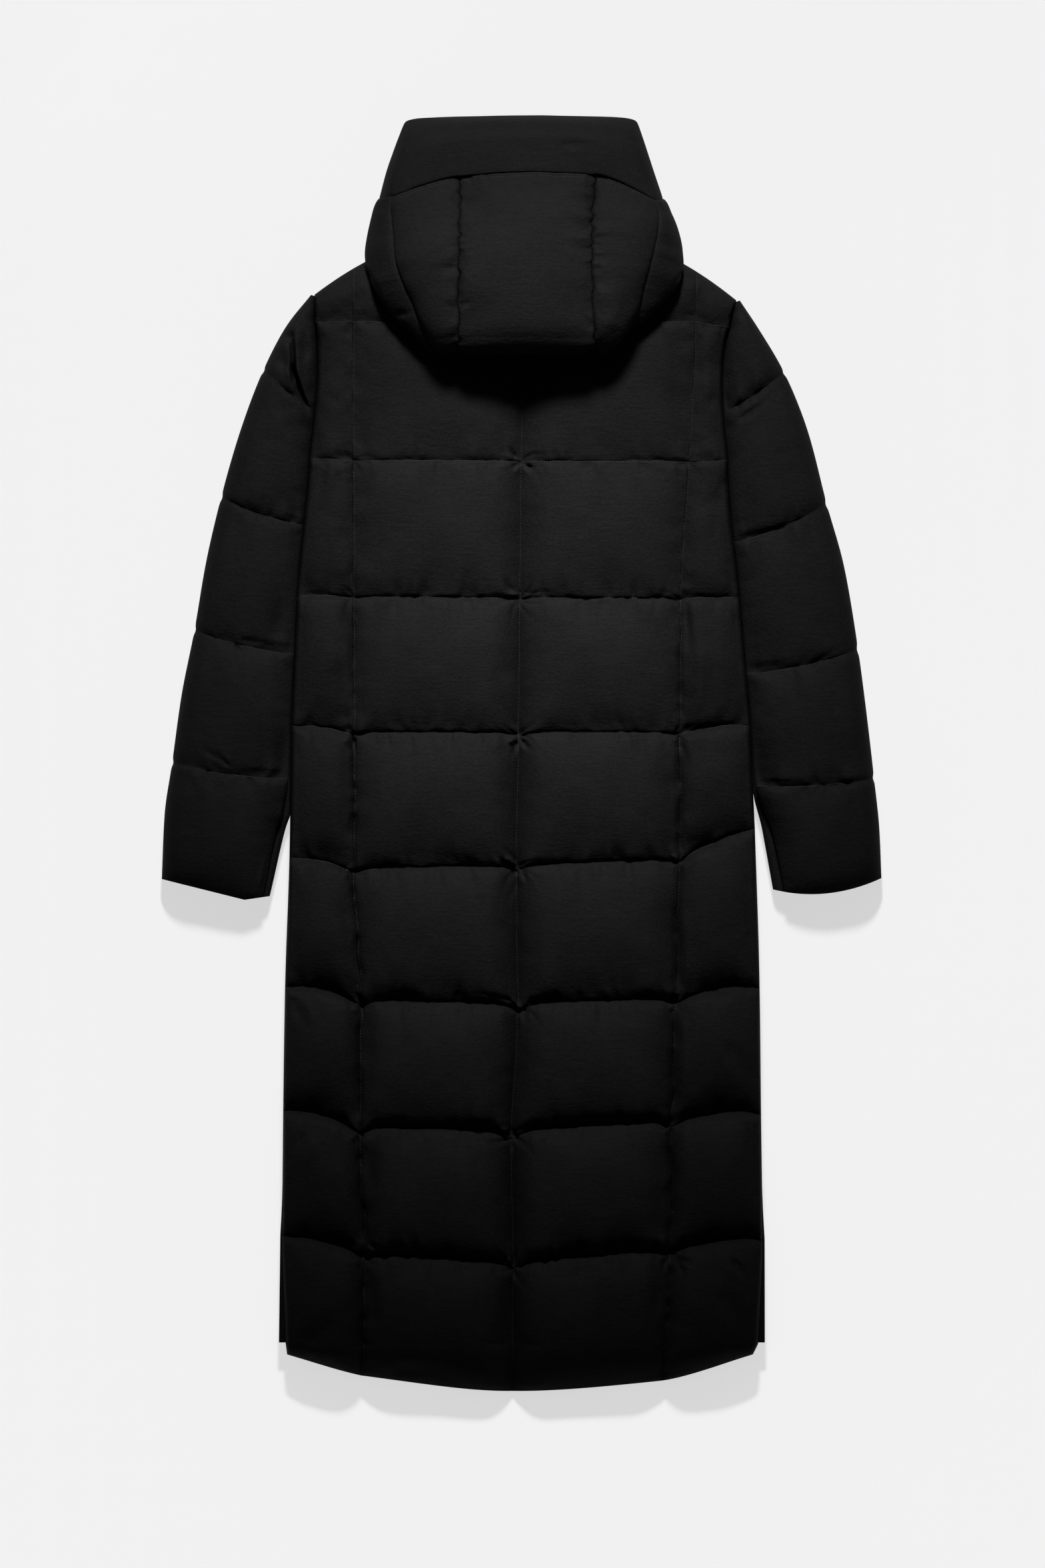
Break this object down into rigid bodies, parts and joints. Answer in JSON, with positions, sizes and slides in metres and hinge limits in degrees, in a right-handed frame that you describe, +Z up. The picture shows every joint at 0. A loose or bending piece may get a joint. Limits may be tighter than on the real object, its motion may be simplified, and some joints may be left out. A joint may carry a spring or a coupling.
{
  "type": "long puffer coat",
  "caption": "Long black hooded puffer coat, quilted in wide rows, lying flat on its front with the hood over its back.",
  "frame": {"origin": "under the middle of the coat's bounding box, on the surface that it lies on", "axes": "+X to the right as the coat is looked down on, which is its wearer's right; +Y from the hem to the hood; +Z up, out of the back"},
  "size_m": [0.7566, 1.3378, 0.1297],
  "materials": {
    "back_centre_fabric": "matt woven nylon",
    "back_side_left_fabric": "matt woven nylon",
    "back_side_right_fabric": "matt woven nylon",
    "front_left_fabric": "matt woven nylon",
    "front_right_fabric": "matt woven nylon",
    "front_placket_fabric": "matt woven nylon",
    "sleeve_left_upper_fabric": "matt woven nylon",
    "sleeve_left_under_fabric": "matt woven nylon",
    "sleeve_right_upper_fabric": "matt woven nylon",
    "sleeve_right_under_fabric": "matt woven nylon",
    "hood_centre_fabric": "matt woven nylon",
    "hood_side_left_fabric": "matt woven nylon",
    "hood_side_right_fabric": "matt woven nylon",
    "hood_band_left_fabric": "matt woven nylon",
    "hood_band_right_fabric": "matt woven nylon",
    "hood_brim_fabric": "matt woven nylon",
    "hood_inside_fabric": "matt woven nylon"
  },
  "bodies": {
    "root": {"back_centre": "back_centre_fabric", "back_side_left": "back_side_left_fabric", "back_side_right": "back_side_right_fabric", "front_left": "front_left_fabric", "front_right": "front_right_fabric", "front_placket": "front_placket_fabric", "sleeve_left_upper": "sleeve_left_upper_fabric", "sleeve_left_under": "sleeve_left_under_fabric", "sleeve_right_upper": "sleeve_right_upper_fabric", "sleeve_right_under": "sleeve_right_under_fabric", "hood_centre": "hood_centre_fabric", "hood_side_left": "hood_side_left_fabric", "hood_side_right": "hood_side_right_fabric", "hood_band_left": "hood_band_left_fabric", "hood_band_right": "hood_band_right_fabric", "hood_brim": "hood_brim_fabric", "hood_inside": "hood_inside_fabric"}
  },
  "joints": []
}
